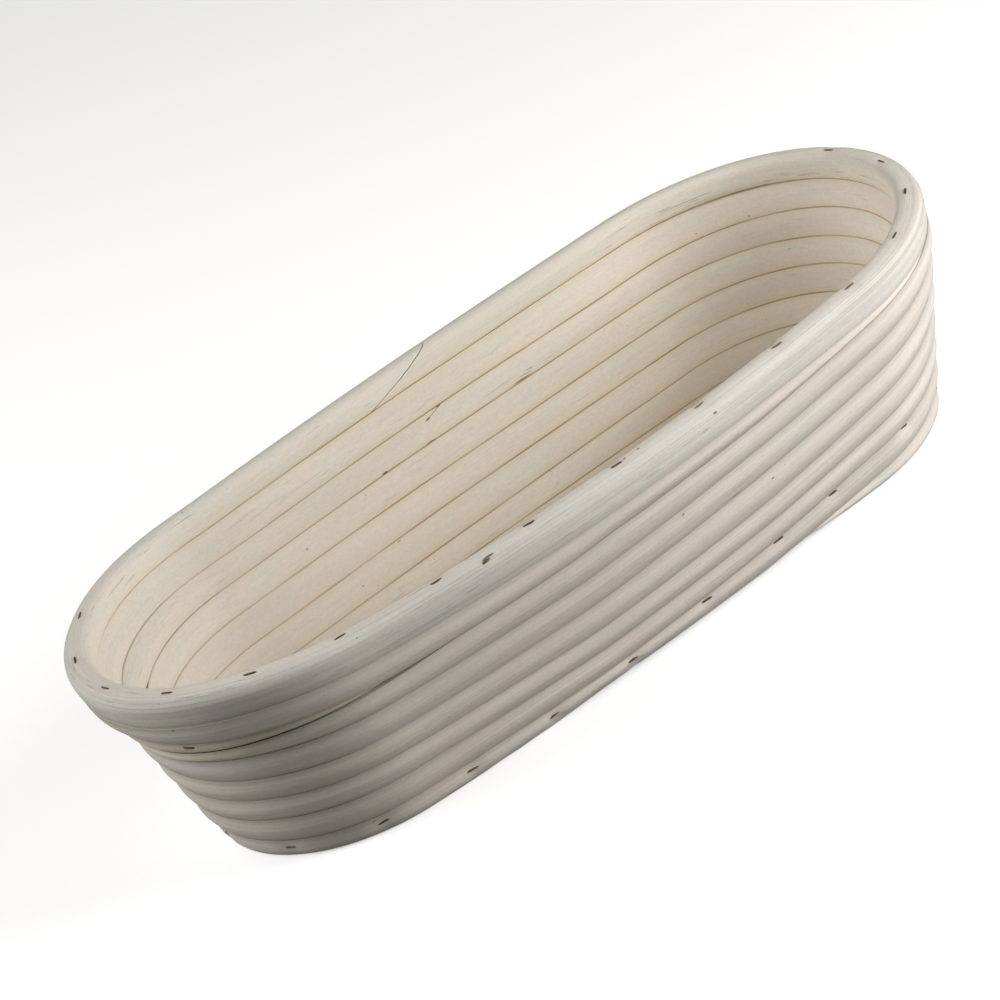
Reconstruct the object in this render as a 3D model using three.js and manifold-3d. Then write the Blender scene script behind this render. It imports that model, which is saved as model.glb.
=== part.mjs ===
import * as THREE from 'three';
import { mergeVertices } from 'three/addons/utils/BufferGeometryUtils.js';
import Module from 'manifold-3d';

// Long oval proofing basket wound from round rattan cane, in millimetres, +Z up, standing on z = 0.
// +X runs along the basket, the front is at -Y, and every cane winds counter-clockwise seen from above.
// A flat spiral makes the base, a climbing spiral makes the flared wall, and one separate turn makes the rim.

// Driving dimensions
const coreLength = 161; // straight run between the centres of the two round ends
const caneDiameter = 8.6; // base and wall cane
const rimDiameter = 8.6; // rim cane
const baseTurns = 4; // turns of the base round its straight core
const wallTurns = 7; // turns of the wall below the rim
const flare = 2.7; // step outwards from one wall turn to the next
const rimOverhang = 1.2; // step outwards from the top wall turn to the rim
const frontBow = 6.5; // bulge of the rim's front side at mid-length
const backBow = 1.5; // bulge of the rim's back side at mid-length
const footBowShare = 0.5; // share of the rim's bows that the foot has
const footDepth = 0.86; // depth of the flats that the basket stands on
const coreTipLength = 3; // whittled tip at each end of the core
const coreTipDiameter = 4.8;
const crownWidth = 5.2; // staple, over both legs
const wireThickness = 0.9;
const legLength = 15; // from the top of the crown to the points
const pointLength = 1.2; // chisel point of a leg

// Clearances
const coilGap = 0.45; // between neighbouring turns
const wallSeatGap = 0.35; // extra room between the base and the leaning first wall turn
const rimSeatGap = 0.65; // between the top wall turn and the rim, whose sections lean differently
const scarfGap = 0.45; // square across a slanting joint between two cane ends
const stapleGap = 0.3; // round a staple in its holes

// Joints, placed by station round the oval: 0 to 1 front, 1 to 2 right end, 2 to 3 back, 3 to 4 left end
const stationsPerTurn = 4;
const climbStart = 0.38; // along the front, each turn climbs to the next level
const climbEnd = 1.3;
const tipThickness = 0.8; // thickness left at a tapered cane end
const rimScarfStation = 2.51;
const rimScarfLength = 25;
const spliceStart = 23.3; // where the upper wall cane takes over from the lower one
const spliceEnd = 24.1;

// Staples, spaced evenly along each side and each end of the oval
const rimStaplesPerSide = 6;
const rimStaplesPerEnd = 7;
const footStaplesPerSide = 6;
const footStaplesPerEnd = 5;
const footStapleStart = 1.2; // the stretch of the first wall turn that lies beside the base
const footStapleEnd = 4.8;

// Faceting
const sectionSides = 8;
const sideSteps = 6;
const endSteps = 14;

const caneColour = 0xe3d5bb;
const rimColour = 0xe6dfd0;
const baseColour = 0xdccbab;
const stapleColour = 0x4a4743;

const halfCore = coreLength / 2;
const caneRadius = caneDiameter / 2;
const rimRadius = rimDiameter / 2;
const pitch = caneDiameter + coilGap;
const footHeight = caneRadius - footDepth;

// Windings stack their turns along a direction that leans outwards from vertical.
const base = {
  turns: baseTurns,
  lean: Math.PI / 2,
  firstRadius: pitch,
  bowShare: (level) => (footBowShare * (level + 1)) / (baseTurns + 1),
};

const wall = {
  turns: wallTurns,
  lean: Math.asin(flare / pitch),
  firstRadius: (baseTurns + 1) * pitch + wallSeatGap,
  bowShare: (level) => THREE.MathUtils.lerp(footBowShare, 1, level / wallTurns),
};

const rimStep = rimRadius + caneRadius + rimSeatGap;
const topHeight = footHeight + (wallTurns - 1) * pitch * Math.cos(wall.lean);
const rim = {
  lean: Math.asin(rimOverhang / rimStep),
  radius: wall.firstRadius + (wallTurns - 1) * flare + rimOverhang,
  height: topHeight + Math.sqrt(rimStep ** 2 - rimOverhang ** 2),
};

// The long sides are arcs that run smoothly into the round ends.
function sideArc(side, bowShare) {
  const bow = bowShare * (side % stationsPerTurn === 0 ? frontBow : backBow);
  const centre = (halfCore ** 2 - bow ** 2) / (2 * bow);
  return { bow, centre, meeting: Math.atan2(centre, halfCore) };
}

// The oval's point and outward normal at a station, for a given radius of the round ends.
function planPoint(station, endRadius, bowShare) {
  const side = Math.floor(station);
  const share = station - side;
  const facing = side % stationsPerTurn < 2 ? 1 : -1;
  const normal = new THREE.Vector3();
  const point = new THREE.Vector3();
  if (side % 2 === 1) {
    const first = -sideArc(side - 1, bowShare).meeting;
    const last = sideArc(side + 1, bowShare).meeting;
    const angle = THREE.MathUtils.lerp(first, last, share);
    normal.set(Math.cos(angle), Math.sin(angle), 0);
    point.set(halfCore, 0, 0).addScaledVector(normal, endRadius);
  } else {
    const arc = sideArc(side, bowShare);
    const angle = (2 * share - 1) * (Math.PI / 2 - arc.meeting) - Math.PI / 2;
    normal.set(Math.cos(angle), Math.sin(angle), 0);
    point.set(0, arc.centre, 0).addScaledVector(normal, endRadius + arc.bow + arc.centre);
  }
  return { point: point.multiplyScalar(facing), normal: normal.multiplyScalar(facing) };
}

// One section of cane: a polygon whose flats touch the round section, cut to the heights low and high
// along the stacking direction.
function section(plan, height, lean, radius, low = -radius, high = radius) {
  const up = new THREE.Vector3(0, 0, 1);
  const stack = plan.normal.clone().multiplyScalar(Math.sin(lean)).addScaledVector(up, Math.cos(lean));
  const across = plan.normal.clone().multiplyScalar(Math.cos(lean)).addScaledVector(up, -Math.sin(lean));
  const nearest = Math.max(low, -high, 0);
  const halfWidth = Math.sqrt(radius ** 2 - nearest ** 2);
  const halfHeight = (high - low) / 2;
  const centre = plan.point.clone().setZ(height).addScaledVector(stack, (high + low) / 2);
  const reach = 1 / Math.cos(Math.PI / sectionSides);
  const points = [];
  for (let side = 0; side < sectionSides; side += 1) {
    const angle = ((side + 0.5) * 2 * Math.PI) / sectionSides;
    const point = centre.clone();
    point.addScaledVector(across, reach * halfWidth * Math.cos(angle));
    point.addScaledVector(stack, reach * halfHeight * Math.sin(angle));
    points.push(point);
  }
  return points;
}

// Stations of the faceted path from one station to another, both included.
function stationsBetween(from, to) {
  const clear = 0.25 / endSteps;
  const stations = [from];
  for (let side = Math.floor(from); side <= to; side += 1) {
    const steps = side % 2 === 1 ? endSteps : sideSteps;
    for (let step = 0; step < steps; step += 1) {
      const station = side + step / steps;
      if (station > from + clear && station < to - clear) stations.push(station);
    }
  }
  stations.push(to);
  return stations;
}

// The stacking level of a winding at a station: each turn climbs one level along the front.
function levelAt(station) {
  const turn = Math.floor(station / stationsPerTurn);
  const climb = (station - turn * stationsPerTurn - climbStart) / (climbEnd - climbStart);
  return turn + THREE.MathUtils.clamp(climb, 0, 1) - 1;
}

// A winding starts and ends where a cane that is tapered against its neighbour is down to its tip.
const taperRun = ((climbEnd - climbStart) * (caneDiameter - tipThickness)) / pitch;
const windingStart = climbEnd - taperRun;

function windingEnd(winding) {
  return stationsPerTurn * winding.turns + climbStart + taperRun;
}

// Sections of a winding between two stations. The cane is cut off below its first level and above its
// last one, and further by the limits that a splice sets.
function windingSections(winding, from, to, limits = () => ({})) {
  return stationsBetween(from, to).map((station) => {
    const level = levelAt(station);
    const radius = winding.firstRadius + level * pitch * Math.sin(winding.lean);
    const height = footHeight + level * pitch * Math.cos(winding.lean);
    const under = Math.max(-level, 0);
    const over = Math.max(level - winding.turns + 1, 0);
    const { low = -Infinity, high = Infinity } = limits(station);
    const bottom = Math.max(under * pitch - caneRadius, low);
    const top = Math.min(caneRadius - over * pitch, high);
    const plan = planPoint(station, radius, winding.bowShare(level));
    return section(plan, height, winding.lean, caneRadius, bottom, top);
  });
}

// A slanting cut rises through the cane along the splice. The lower cane's end lies above the cut.
function spliceCut(station) {
  const share = (station - spliceStart) / (spliceEnd - spliceStart);
  return caneDiameter * (share - 0.5);
}

function stationAtCut(height) {
  return spliceStart + (spliceEnd - spliceStart) * (height / caneDiameter + 0.5);
}

function lowerWallSections() {
  const end = stationAtCut(caneRadius - tipThickness - scarfGap / 2);
  return windingSections(wall, windingStart, end, (station) => ({ low: spliceCut(station) + scarfGap / 2 }));
}

function upperWallSections() {
  const start = stationAtCut(tipThickness + scarfGap / 2 - caneRadius);
  const end = windingEnd(wall);
  return windingSections(wall, start, end, (station) => ({ high: spliceCut(station) - scarfGap / 2 }));
}

function baseSections() {
  return windingSections(base, windingStart, windingEnd(base));
}

// The rim is one turn whose two ends meet in a slanting cut.
function rimSections() {
  const end = rimScarfStation + stationsPerTurn;
  const clear = (rimScarfLength / 2 + rimDiameter) / coreLength;
  const between = stationsBetween(rimScarfStation + clear, end - clear);
  const sections = [rimScarfStation, ...between, end].map((station) => {
    return section(planPoint(station, rim.radius, 1), rim.height, rim.lean, rimRadius);
  });
  const { normal } = planPoint(rimScarfStation, rim.radius, 1);
  const ahead = new THREE.Vector3(-normal.y, normal.x, 0);
  const slant = (points, gap) => {
    for (const point of points) {
      const rise = point.z - rim.height;
      point.addScaledVector(ahead, gap - (rimScarfLength * rise) / rimDiameter);
    }
  };
  const gapAlong = (scarfGap * Math.hypot(rimScarfLength, rimDiameter)) / rimDiameter;
  slant(sections[0], gapAlong / 2);
  slant(sections[sections.length - 1], -gapAlong / 2);
  return sections;
}

// The core is a straight length with whittled tips, in the middle of the base.
function coreSections() {
  const normal = new THREE.Vector3(0, -1, 0);
  const tip = halfCore + coreTipLength;
  const ends = [
    { x: -tip, radius: coreTipDiameter / 2 },
    { x: -halfCore, radius: caneRadius },
    { x: halfCore, radius: caneRadius },
    { x: tip, radius: coreTipDiameter / 2 },
  ];
  return ends.map(({ x, radius }) => {
    return section({ point: new THREE.Vector3(x, 0, 0), normal }, footHeight, base.lean, radius);
  });
}

// A closed tube through a list of sections, with flat ends.
function tubeGeometry(sections) {
  const positions = sections.flat().flatMap((point) => point.toArray());
  const index = [];
  for (let ring = 0; ring + 1 < sections.length; ring += 1) {
    const here = ring * sectionSides;
    const ahead = here + sectionSides;
    for (let side = 0; side < sectionSides; side += 1) {
      const next = (side + 1) % sectionSides;
      index.push(here + side, ahead + side, here + next);
      index.push(here + next, ahead + side, ahead + next);
    }
  }
  const last = (sections.length - 1) * sectionSides;
  for (let side = 1; side + 1 < sectionSides; side += 1) {
    index.push(0, side, side + 1);
    index.push(last, last + side + 1, last + side);
  }
  const geometry = new THREE.BufferGeometry();
  geometry.setAttribute('position', new THREE.Float32BufferAttribute(positions, 3));
  geometry.setIndex(index);
  return geometry;
}

// The least distance between points of a winding that lie more than half a turn apart.
function leastGap(sections) {
  const apart = sideSteps + endSteps;
  let least = Infinity;
  sections.forEach((points, place) => {
    for (const others of sections.slice(place + apart)) {
      for (const point of points) {
        for (const other of others) least = Math.min(least, point.distanceTo(other));
      }
    }
  });
  return least;
}

const wasm = await Module();
wasm.setup();

function toSolid(geometry) {
  const bare = geometry.clone();
  bare.deleteAttribute('normal');
  bare.deleteAttribute('uv');
  const merged = mergeVertices(bare);
  const vertProperties = new Float32Array(merged.getAttribute('position').array);
  const triVerts = new Uint32Array(merged.getIndex().array);
  return new wasm.Manifold(new wasm.Mesh({ numProp: 3, vertProperties, triVerts }));
}

function toGeometry(solid) {
  const mesh = solid.getMesh();
  const geometry = new THREE.BufferGeometry();
  geometry.setAttribute('position', new THREE.BufferAttribute(new Float32Array(mesh.vertProperties), 3));
  geometry.setIndex(new THREE.BufferAttribute(new Uint32Array(mesh.triVerts), 1));
  return geometry;
}

// What lies below z = 0 is ground off, which leaves the flats that the basket stands on.
const groundReach = 2 * (halfCore + rim.radius + rimDiameter);
const ground = new THREE.BoxGeometry(groundReach, groundReach, caneDiameter);
ground.translate(0, 0, -caneDiameter / 2);

function cutAway(geometry, cutters) {
  return toGeometry(cutters.reduce((solid, cutter) => solid.subtract(toSolid(cutter)), toSolid(geometry)));
}

// A staple in its own frame: the crown along x, with its top at y = 0, and the legs along -y. With a
// clearance it is the hole for the staple, open above the crown.
function stapleGeometry(clearance) {
  const outer = crownWidth / 2 + clearance;
  const inner = crownWidth / 2 - wireThickness - clearance;
  const top = clearance > 0 ? rimRadius : 0;
  const crownBottom = -wireThickness - clearance;
  const tip = -legLength - clearance;
  const shoulder = tip + pointLength;
  const outline = new THREE.Shape();
  outline.moveTo(-outer, top);
  outline.lineTo(-outer, tip);
  outline.lineTo(-inner, shoulder);
  outline.lineTo(-inner, crownBottom);
  outline.lineTo(inner, crownBottom);
  outline.lineTo(inner, shoulder);
  outline.lineTo(outer, tip);
  outline.lineTo(outer, top);
  const depth = wireThickness + 2 * clearance;
  return new THREE.ExtrudeGeometry(outline, { depth, bevelEnabled: false }).translate(0, 0, -depth / 2);
}

// A staple's place: its crown along the cane, on the cane's surface, and its legs along the inward direction.
function staplePlace(centre, normal, inward, radius) {
  const along = new THREE.Vector3(-normal.y, normal.x, 0);
  const outward = inward.clone().negate();
  const place = new THREE.Matrix4().makeBasis(along, outward, along.clone().cross(outward));
  return place.setPosition(centre.clone().addScaledVector(outward, radius));
}

// Rim staples go straight down, through the rim and into the top wall turn.
function rimStaplePlaces() {
  const places = [];
  for (let side = 0; side < stationsPerTurn; side += 1) {
    const count = side % 2 === 1 ? rimStaplesPerEnd : rimStaplesPerSide;
    for (let step = 0; step < count; step += 1) {
      const { point, normal } = planPoint(side + step / count, rim.radius, 1);
      places.push(staplePlace(point.setZ(rim.height), normal, new THREE.Vector3(0, 0, -1), rimRadius));
    }
  }
  return places;
}

// Foot staples go inwards, through the first wall turn towards the outer turn of the base.
function footStaplePlaces() {
  const places = [];
  for (let side = Math.floor(footStapleStart); side < footStapleEnd; side += 1) {
    const count = side % 2 === 1 ? footStaplesPerEnd : footStaplesPerSide;
    for (let step = 0; step < count; step += 1) {
      const station = side + (step + 0.5) / count;
      if (station > footStapleStart && station < footStapleEnd) {
        const level = levelAt(station);
        const radius = wall.firstRadius + level * flare;
        const { point, normal } = planPoint(station, radius, wall.bowShare(level));
        point.setZ(footHeight + level * pitch * Math.cos(wall.lean));
        const outerTurn = planPoint(station, baseTurns * pitch, base.bowShare(baseTurns - 1));
        const inward = outerTurn.point.setZ(footHeight).sub(point).normalize();
        places.push(staplePlace(point, normal, inward, caneRadius));
      }
    }
  }
  return places;
}

// The origin is under the middle of the rim's outline, and the deeper bow is at the front.
const basket = new THREE.Group();
basket.position.y = (frontBow - backBow) / 2;

function addPiece(name, geometry, color, metalness = 0) {
  geometry.computeVertexNormals();
  const roughness = metalness > 0 ? 0.45 : 0.7;
  const material = new THREE.MeshStandardMaterial({ color, roughness, metalness });
  const mesh = new THREE.Mesh(geometry, material);
  mesh.name = name;
  basket.add(mesh);
}

function addWinding(name, sections, color, cutters) {
  console.log(`${name}: least gap between its turns ${leastGap(sections).toFixed(2)} mm`);
  addPiece(name, cutAway(tubeGeometry(sections), cutters), color);
}

function addStaples(name, places) {
  places.forEach((place, index) => {
    const number = String(index + 1).padStart(2, '0');
    addPiece(`${name}_${number}`, stapleGeometry(0).applyMatrix4(place), stapleColour, 1);
  });
}

const rimPlaces = rimStaplePlaces();
const footPlaces = footStaplePlaces();
const rimHoles = rimPlaces.map((place) => stapleGeometry(stapleGap).applyMatrix4(place));
const footHoles = footPlaces.map((place) => stapleGeometry(stapleGap).applyMatrix4(place));

addPiece('base_core', cutAway(tubeGeometry(coreSections()), [ground]), baseColour);
addWinding('base_cane', baseSections(), baseColour, [ground, ...footHoles]);
addWinding('lower_wall_cane', lowerWallSections(), caneColour, [ground, ...footHoles]);
addWinding('upper_wall_cane', upperWallSections(), caneColour, rimHoles);
addWinding('rim_cane', rimSections(), rimColour, rimHoles);
addStaples('rim_staple', rimPlaces);
addStaples('foot_staple', footPlaces);

export default basket;
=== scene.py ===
import math

import bpy
import numpy as np
from mathutils import Matrix, Vector


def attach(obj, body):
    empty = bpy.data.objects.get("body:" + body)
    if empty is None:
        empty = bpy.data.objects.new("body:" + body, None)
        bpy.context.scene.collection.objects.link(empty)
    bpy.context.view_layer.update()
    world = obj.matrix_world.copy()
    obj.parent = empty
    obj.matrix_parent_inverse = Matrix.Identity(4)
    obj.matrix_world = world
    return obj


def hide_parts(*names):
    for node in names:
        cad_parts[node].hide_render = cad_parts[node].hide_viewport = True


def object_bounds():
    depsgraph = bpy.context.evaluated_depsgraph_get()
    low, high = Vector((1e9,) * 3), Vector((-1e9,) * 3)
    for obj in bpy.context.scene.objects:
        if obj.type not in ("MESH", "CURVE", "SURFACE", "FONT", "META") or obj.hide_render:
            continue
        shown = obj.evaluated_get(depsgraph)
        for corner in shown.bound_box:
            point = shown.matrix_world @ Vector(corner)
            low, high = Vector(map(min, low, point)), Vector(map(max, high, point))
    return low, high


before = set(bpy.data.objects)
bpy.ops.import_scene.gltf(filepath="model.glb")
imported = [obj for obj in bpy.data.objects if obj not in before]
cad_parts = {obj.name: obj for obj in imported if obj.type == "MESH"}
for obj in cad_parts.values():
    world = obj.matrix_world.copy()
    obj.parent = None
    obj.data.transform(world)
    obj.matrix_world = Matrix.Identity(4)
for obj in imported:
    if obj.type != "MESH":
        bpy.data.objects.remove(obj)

cadLow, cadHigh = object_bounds()
scene = bpy.context.scene
mm = 0.001
upwards = np.array([0.0, 0.0, 1.0])
flatFrom = 0.9999   # share of its half height from which a section is a pressed face

# The oval that every cane follows, in millimetres. Places round it go by station:
# 0 to 1 front, 1 to 2 right end, 2 to 3 back, 3 to 4 left end.
oval = {
    "coreLength": 161.0,
    "caneDiameter": 8.6,
    "coilGap": 0.45,
    "baseTurns": 4,
    "wallTurns": 7,
    "flare": 2.7,
    "frontBow": 6.5,
    "backBow": 1.5,
    "footBowShare": 0.5,
    "footDepth": 0.86,
    "wallSeatGap": 0.35,
    "climbStart": 0.38,
    "climbEnd": 1.3,
    "tipThickness": 0.15,
    "ringSpacing": 2.4,
    "stepsPerStation": 300,  # for measuring a cane's length
    "edgeSpacing": 0.55,     # stations between the knots of each slow wander
    "faceSpacing": 0.8,
    "girthSpacing": 0.7,
    "frontSeamStations": [-0.4, 0.2, 0.45, 0.75, 1.35],
    "backSeamStations": [1.6, 2.1, 2.9, 3.4],
    "crackShadowFadeIn": 0.05,
    "crackShadowFadeOut": 0.12,
    "leastWidth": 0.1,       # square of the share of its width that a thin tip keeps
    "squeeze": 0.1,          # by which two neighbouring turns are pressed into each other
    "leftNarrowing": 0.05,   # share of its width that the left end has lost
    "leftRun": 140.0,
    "leftLift": 1.8,         # by which the rim has warped upwards there
    "liftStart": 75.0,
    "liftRun": 50.0,
    "leftTuck": 2.8,         # by which the wall is drawn in there, and between which heights
    "tuckFoot": 6.0,
    "tuckHeight": 46.0,
    "tuckTop": 62.0,
}
halfCore = oval["coreLength"] / 2
caneRadius = oval["caneDiameter"] / 2
pitch = oval["caneDiameter"] + oval["coilGap"]
footHeight = caneRadius - oval["footDepth"]
shiftBack = (oval["frontBow"] - oval["backBow"]) / 2
wallLean = math.asin(oval["flare"] / pitch)
wallRadius = (oval["baseTurns"] + 1) * pitch + oval["wallSeatGap"]
climbRun = oval["climbEnd"] - oval["climbStart"]
taperRun = climbRun * (1 - oval["tipThickness"] / pitch)
windingStart = oval["climbEnd"] - taperRun


def smooth(value):
    value = np.clip(value, 0, 1)
    return value * value * (3 - 2 * value)


def drift(seed, spacing, size):
    # slow wander along a cane, by station
    count, before = 400, 40   # knots in all, and before station 0
    knots = np.random.default_rng(seed).uniform(-size, size, count)

    def at(station):
        place = np.asarray(station) / spacing + before
        knot = np.floor(place).astype(int)
        share = smooth(place - knot)
        return knots[knot] * (1 - share) + knots[knot + 1] * share

    return at


def sideArc(bow):
    # centre of a bowed side's arc, and the angle where it runs into a round end
    leastBow = 1e-4   # so that a straight side has a centre too
    bow = np.maximum(bow, leastBow)
    centre = (halfCore ** 2 - bow ** 2) / (2 * bow)
    return bow, centre, np.arctan2(centre, halfCore)


def ovalPoint(station, endRadius, bowShare):
    side = np.floor(station).astype(int) % 4
    share = station - np.floor(station)
    facing = np.where(side < 2, 1.0, -1.0)
    front, back = (sideArc(oval[name] * bowShare) for name in ("frontBow", "backBow"))
    bow, centre, meeting = (np.where(side == 0, *pair) for pair in zip(front, back))
    before = np.where(side == 1, -front[2], -back[2])
    after = np.where(side == 1, back[2], front[2])
    atEnd = side % 2 == 1
    angle = np.where(
        atEnd,
        before + (after - before) * share,
        (2 * share - 1) * (math.pi / 2 - meeting) - math.pi / 2,
    )
    normal = np.stack([np.cos(angle), np.sin(angle), np.zeros_like(angle)], -1)
    reach = np.where(atEnd, endRadius, endRadius + bow + centre)
    middle = np.zeros_like(normal)
    middle[:, 0] = np.where(atEnd, halfCore, 0)
    middle[:, 1] = np.where(atEnd, 0, centre)
    point = (middle + normal * reach[:, None]) * facing[:, None]
    point[:, 1] *= 1 - oval["leftNarrowing"] * smooth(-point[:, 0] / oval["leftRun"])
    point[:, 1] += shiftBack
    return point, normal * facing[:, None]


def levelAt(station):
    turn = np.floor(station / 4)
    climb = (station - turn * 4 - oval["climbStart"]) / climbRun
    return turn + np.clip(climb, 0, 1) - 1


def evenStations(place, first, last):
    # stations at an even spacing along the cane, with the length to each
    dense = np.linspace(first, last, int((last - first) * oval["stepsPerStation"]) + 2)
    steps = np.linalg.norm(np.diff(place(dense), axis=0), axis=1)
    length = np.concatenate([[0], np.cumsum(steps)])
    along = np.linspace(0, length[-1], int(length[-1] / oval["ringSpacing"]) + 2)
    return np.interp(along, length, dense), along


def warped(point):
    share = smooth((-point[..., 0] - oval["liftStart"]) / oval["liftRun"])
    height = point[..., 2] / (oval["wallTurns"] * pitch)
    return point + upwards * (oval["leftLift"] * share * height)[..., None]


def leaned(normal, lean):
    # the direction in which turns are stacked, and the one across a turn
    stack = normal * math.sin(lean) + upwards * math.cos(lean)
    across = normal * math.cos(lean) - upwards * math.sin(lean)
    return stack, across


def sections(centre, normal, lean, low, high, halfWidth, along, shear=None):
    # one row for each section of a cane, cut to low and high along its stacking direction
    stack, across = leaned(normal, lean)
    ahead = np.stack([-normal[:, 1], normal[:, 0], np.zeros(len(normal))], -1)
    return {
        "centre": warped(centre + stack * ((high + low) / 2)[:, None]) * mm,
        "stackDir": stack,
        "acrossDir": across,
        "aheadDir": ahead,
        "halfHeight": (high - low) / 2 * mm,
        "halfWidth": halfWidth * mm,
        "along": along * mm,
        "shear": np.zeros(len(along)) if shear is None else shear,
        "taper": 1 - (high - low) / pitch,
    }


def windingSections(winding, first, last, limits=None):
    lean = winding["lean"]
    turns = winding["turns"]
    edge, face, girth = (
        drift(winding["seed"] + number, oval[kind + "Spacing"], winding[kind + "Drift"])
        for number, kind in enumerate(("edge", "face", "girth"))
    )

    def seamDrift(station):
        fadeIn = smooth(station - oval["climbStart"])
        fadeOut = smooth(4 * (turns - 1) + oval["climbEnd"] - station)
        return edge(station) * fadeIn * fadeOut + seamShift(winding, station)

    def place(station):
        level = levelAt(station)
        radius = winding["firstRadius"] + level * pitch * math.sin(lean)
        point, normal = ovalPoint(station, radius, winding["bowShare"](level))
        point[:, 2] = footHeight + level * pitch * math.cos(lean)
        return point, normal

    station, along = evenStations(lambda s: place(s)[0], first, last)
    level = levelAt(station)
    point, normal = place(station)
    under = np.maximum(-level, 0)
    over = np.maximum(level - turns + 1, 0)
    low = seamDrift(station - 4) + (under - 0.5) * pitch
    high = seamDrift(station) + (0.5 - over) * pitch
    low = np.maximum(low - bowGap(winding, station), footArch(winding, station, level))
    crackLow, crackHigh = seamCrackShadows(winding, station), seamCrackShadows(winding, station + 4)
    if limits:
        lowLimit, highLimit = limits(station)
        # painted shadow along the splice's slanting cut
        spliceShadow = smooth((winding["spliceShadowEnd"] - station) / oval["crackShadowFadeOut"])
        spliceShadow *= winding["spliceShadow"]
        crackLow = np.where(lowLimit > low, spliceShadow, crackLow)
        crackHigh = np.where(highLimit < high, spliceShadow, crackHigh)
        low, high = np.maximum(low, lowLimit), np.minimum(high, highLimit)
    high = np.maximum(high, low + oval["tipThickness"])
    low, high = low - oval["squeeze"] / 2, high + oval["squeeze"] / 2
    full = winding["halfWidth"] + girth(station)
    nearest = np.maximum(np.maximum(low, -high), 0)
    halfWidth = full * np.sqrt(np.maximum(1 - (nearest / (pitch / 2)) ** 2, oval["leastWidth"]))
    centre = point + leaned(normal, lean)[1] * face(station)[:, None]
    made = sections(centre, normal, lean, low, high, halfWidth, along)
    made["crackLow"], made["crackHigh"] = crackLow, crackHigh
    return made


def seamShift(winding, station):
    # how far the seam above each turn runs higher or lower than an even winding would have it
    shift = np.zeros(len(station))
    for start, (left, middle, right) in winding["frontSeams"].items():
        shift += np.interp(station - start, oval["frontSeamStations"], [0, left, middle, right, 0])
    for start, height in winding["backSeams"].items():
        shift += np.interp(station - start, oval["backSeamStations"], [0, height, height, 0])
    return shift


def bowGap(winding, station):
    # by which a turn's greater bow would part it from the turn before
    share = station % 1
    bow = np.choose(np.floor(station).astype(int) % 4, [oval["frontBow"], 0, oval["backBow"], 0])
    return winding["bowStep"] * bow * 4 * share * (1 - share) * math.sin(winding["lean"])


def footArch(winding, station, level):
    # the front of the foot doesn't quite reach the table between its two ends
    place, fade = station % 4, winding["archFade"]
    share = smooth(place / fade) * smooth((winding["archEnd"] - place) / fade)
    return share * (pitch / 2 - footHeight + winding["archRise"]) - pitch / 2 - level * pitch


def seamCrackShadows(winding, station):
    # painted shadow in the open seam under a turn: how dark it is, by the turn's station
    dark = np.zeros(len(station))
    for start, end, strength in winding["crackShadows"]:
        fadeIn = smooth((station - start) / oval["crackShadowFadeIn"])
        fadeOut = smooth((end - station) / oval["crackShadowFadeOut"])
        dark = np.maximum(dark, strength * fadeIn * fadeOut)
    return dark


building = []   # node trees: new nodes go into the one opened last


def feed(node, feeds):
    for key, value in feeds.items():
        if isinstance(value, bpy.types.NodeSocket):
            building[-1].links.new(value, node.inputs[key])
        else:
            node.inputs[key].default_value = value


def put(kind, feeds=None, **settings):
    node = building[-1].nodes.new(kind)
    for key, value in settings.items():
        setattr(node, key, value)
    feed(node, feeds or {})
    return node


def output(kind, feeds=None, **settings):
    return put(kind, feeds, **settings).outputs[0]


def calc(operation, *values):
    return output("ShaderNodeMath", dict(enumerate(values)), operation=operation)


def times(first, second):
    return calc("MULTIPLY", first, second)


def mix(factor, first, second):
    return output("ShaderNodeMix", {0: factor, 2: first, 3: second})


def calcVector(operation, *values):
    return output("ShaderNodeVectorMath", dict(enumerate(values)), operation=operation)


def scaleVector(vector, factor):
    return output("ShaderNodeVectorMath", {0: vector, 3: factor}, operation="SCALE")


def ramp(value, fromLow, fromHigh, toLow=0.0, toHigh=1.0):
    feeds = {0: value, 1: fromLow, 2: fromHigh, 3: toLow, 4: toHigh}
    return output("ShaderNodeMapRange", feeds, interpolation_type="SMOOTHSTEP")


def noise(vector, scale, detail=2.0):
    return output("ShaderNodeTexNoise", {"Vector": vector, "Scale": scale, "Detail": detail})


def newTree(name, inputs):
    tree = bpy.data.node_groups.new(name, "GeometryNodeTree")
    building.append(tree)
    for kind, labels in {"Geometry": ["Geometry"], **inputs}.items():
        for label in labels:
            tree.interface.new_socket(label, in_out="INPUT", socket_type="NodeSocket" + kind)
    tree.interface.new_socket("Geometry", in_out="OUTPUT", socket_type="NodeSocketGeometry")
    return tree, tree.nodes.new("NodeGroupInput").outputs


def named(name, kind="FLOAT"):
    return put("GeometryNodeInputNamedAttribute", {"Name": name}, data_type=kind).outputs["Attribute"]


def stored(geometry, name, value, kind="FLOAT"):
    feeds = {"Geometry": geometry, "Name": name, "Value": value}
    return output("GeometryNodeStoreNamedAttribute", feeds, data_type=kind, domain="POINT")


def moved(geometry, label, value):
    return output("GeometryNodeSetPosition", {"Geometry": geometry, label: value})


def closeTree(geometry, finish):
    real = output("GeometryNodeRealizeInstances", {0: geometry})
    coloured = output("GeometryNodeSetMaterial", {"Geometry": real, "Material": finish})
    put("NodeGroupOutput", {0: coloured})


def linked(name, data):
    made = bpy.data.objects.new(name, data)
    scene.collection.objects.link(made)
    return made


def meshObject(name, points, edges, faces):
    mesh = bpy.data.meshes.new(name)
    mesh.from_pydata(points, edges, faces)
    return linked(name, mesh)


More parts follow.
